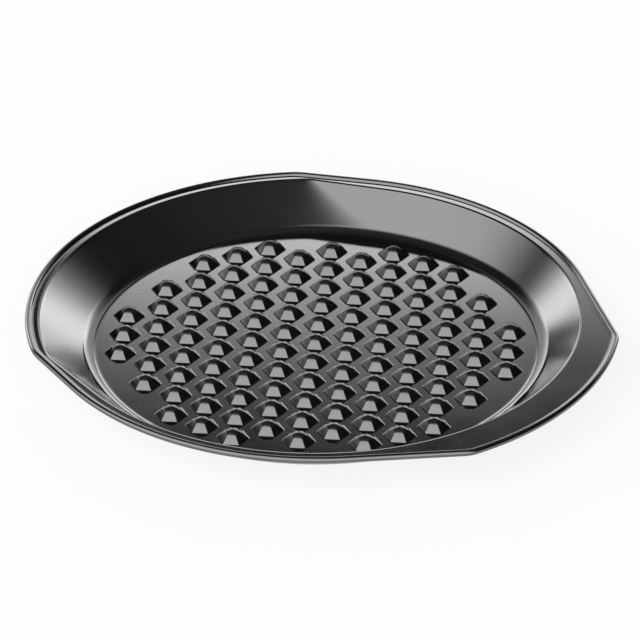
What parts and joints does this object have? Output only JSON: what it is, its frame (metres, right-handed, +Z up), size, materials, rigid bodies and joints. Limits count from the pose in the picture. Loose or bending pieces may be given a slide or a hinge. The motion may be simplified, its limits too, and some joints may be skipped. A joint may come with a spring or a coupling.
{
  "type": "round baking tray",
  "caption": "Shallow round baking tray in dark coated steel, with pressed hexagonal bumps, sloped wall, flat flange with a wide tab and an ear, and a rolled rim.",
  "frame": {"origin": "middle of the tray's length and width, on the flat underside of the base; the round pan's centre is 3.85 mm behind it, at X = -3.85 mm", "axes": "+X towards the wide tab, -X towards the narrow ear, +Y across, +Z up out of the open side"},
  "size_m": [0.3202, 0.301, 0.0215],
  "materials": {
    "coated_steel": "smooth dark grey non-stick coating, glossy"
  },
  "bodies": {
    "root": {"baking_tray": "coated_steel"}
  },
  "joints": []
}
